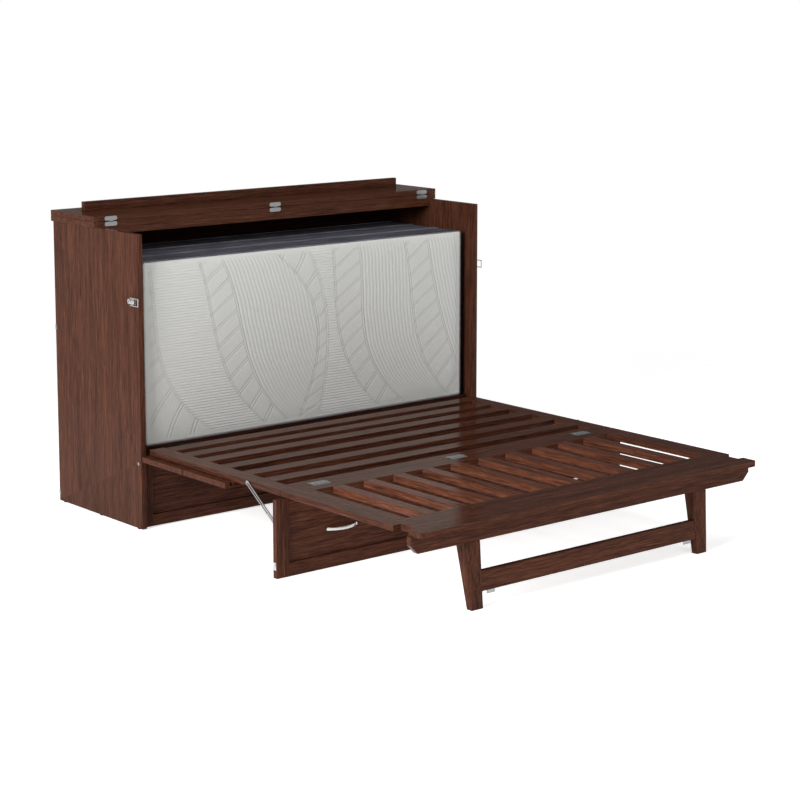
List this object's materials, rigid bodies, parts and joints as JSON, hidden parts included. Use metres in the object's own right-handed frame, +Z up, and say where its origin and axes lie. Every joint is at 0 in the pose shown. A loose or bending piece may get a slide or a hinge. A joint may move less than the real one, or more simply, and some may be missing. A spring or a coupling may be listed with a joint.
{
  "type": "murphy wall bed",
  "caption": "Cabinet bed, opened out: a wooden chest whose front folds down into a slatted platform with folding legs, with a folded mattress behind it.",
  "frame": {"origin": "on the floor, under the middle of the open bed's outline", "axes": "+Z up, +X to the right seen from the foot end, +Y from the foot end towards the cabinet's back"},
  "size_m": [1.643, 2.097, 1.155],
  "materials": {
    "walnut": "satin lacquer over reddish-brown grain",
    "zinc_steel": "zinc plated",
    "satin_nickel": "satin nickel",
    "black_plastic": "matt",
    "mattress_knit": "quilted white knit with grey borders"
  },
  "bodies": {
    "cabinet": {"side_panel_left": "walnut", "side_panel_right": "walnut", "back_panel": "walnut", "rear_top": "walnut", "rear_top_rail": "walnut", "lower_front_frame": "walnut", "lower_front_field": "walnut", "mattress_deck": "walnut", "deck_cleats": "walnut", "floor_glides": "black_plastic", "rear_brackets": "zinc_steel", "latch_bases": "satin_nickel", "cabinet_screws": "zinc_steel", "fold_hinge_fixed": "zinc_steel", "lid_hinge_fixed": "zinc_steel", "cabinet_hinge_pins": "zinc_steel"},
    "lid": {"lid_board": "walnut", "lid_rail": "walnut", "lid_hinge_moving": "zinc_steel", "lid_screws": "zinc_steel"},
    "lever_left": {"latch_lever_left": "satin_nickel"},
    "lever_right": {"latch_lever_right": "satin_nickel"},
    "hook_left": {"latch_hook_left": "satin_nickel"},
    "hook_right": {"latch_hook_right": "satin_nickel"},
    "platform": {"platform_rail_left": "walnut", "platform_rail_right": "walnut", "platform_slats": "walnut", "platform_end_rail": "walnut", "door_panel_lower": "walnut", "door_panel_upper": "walnut", "fold_hinge_moving": "zinc_steel", "seam_hinge_platform": "zinc_steel", "drop_hinge_platform": "zinc_steel", "platform_hinge_pins": "zinc_steel", "platform_fixings": "zinc_steel"},
    "drop_panel": {"drop_panel_frame": "walnut", "drop_panel_field": "walnut", "pulls": "satin_nickel", "catch_plates": "satin_nickel", "drop_hinge_panel": "zinc_steel", "stay_brackets": "zinc_steel"},
    "stays": {"stay_left": "zinc_steel", "stay_right": "zinc_steel"},
    "foot": {"foot_rail_left": "walnut", "foot_rail_right": "walnut", "foot_start_rail": "walnut", "foot_board": "walnut", "foot_apron": "walnut", "foot_slats": "walnut", "seam_hinge_foot": "zinc_steel", "leg_hinge_foot": "zinc_steel", "foot_fixings": "zinc_steel"},
    "leg_frame": {"leg_left": "walnut", "leg_right": "walnut", "leg_stretcher": "walnut", "stretcher_brackets": "zinc_steel", "leg_hinge_leaves": "zinc_steel"},
    "mattress": {"mattress_front_section": "mattress_knit", "mattress_middle_section": "mattress_knit", "mattress_rear_section": "mattress_knit"}
  },
  "joints": [
    {"name": "platform_fold", "type": "hinge", "parent": "cabinet", "child": "platform", "pos_m": [0, 0.4715, 0.274], "axis": [-1, 0, 0], "range_deg": [0, 90]},
    {"name": "foot_fold", "type": "hinge", "parent": "platform", "child": "foot", "pos_m": [0, -0.3265, 0.2968], "axis": [-1, 0, 0], "range_deg": [0, 180]},
    {"name": "leg_fold", "type": "hinge", "parent": "foot", "child": "leg_frame", "pos_m": [0, -0.9585, 0.272], "axis": [1, 0, 0], "range_deg": [0, 96]},
    {"name": "panel_swing", "type": "hinge", "parent": "platform", "child": "drop_panel", "pos_m": [0, -0.328, 0.2725], "axis": [1, 0, 0], "range_deg": [0, 90]},
    {"name": "stay_swing", "type": "hinge", "parent": "drop_panel", "child": "stays", "pos_m": [0, -0.3165, 0.168], "axis": [-1, 0, 0], "range_deg": [0, 125]},
    {"name": "lid_fold", "type": "hinge", "parent": "cabinet", "child": "lid", "pos_m": [0, 0.7435, 1.09875], "axis": [1, 0, 0], "range_deg": [0, 180]},
    {"name": "lever_left_turn", "type": "hinge", "parent": "cabinet", "child": "lever_left", "pos_m": [-0.815, 0.4935, 0.835], "axis": [0, 0, 1], "range_deg": [0, 100]},
    {"name": "lever_right_turn", "type": "hinge", "parent": "cabinet", "child": "lever_right", "pos_m": [0.815, 0.4935, 0.835], "axis": [0, 0, -1], "range_deg": [0, 100]},
    {"name": "hook_left_turn", "type": "hinge", "parent": "lever_left", "child": "hook_left", "pos_m": [-0.8185, 0.5075, 0.835], "axis": [0, 0, -1], "range_deg": [0, 100]},
    {"name": "hook_right_turn", "type": "hinge", "parent": "lever_right", "child": "hook_right", "pos_m": [0.8185, 0.5075, 0.835], "axis": [0, 0, 1], "range_deg": [0, 100]},
    {"name": "mattress_slide", "type": "slide", "parent": "cabinet", "child": "mattress", "axis": [0, 1, 0], "range_m": [0, 0.0651]}
  ],
  "couplings": [
    {"joint": "leg_fold", "follows": "foot_fold", "ratio": 0.53},
    {"joint": "stay_swing", "follows": "panel_swing", "ratio": 1.3743},
    {"joint": "mattress_slide", "follows": "platform_fold", "m_per_rad": 0.0414},
    {"joint": "hook_left_turn", "follows": "lever_left_turn", "ratio": 1},
    {"joint": "hook_right_turn", "follows": "lever_right_turn", "ratio": 1}
  ]
}
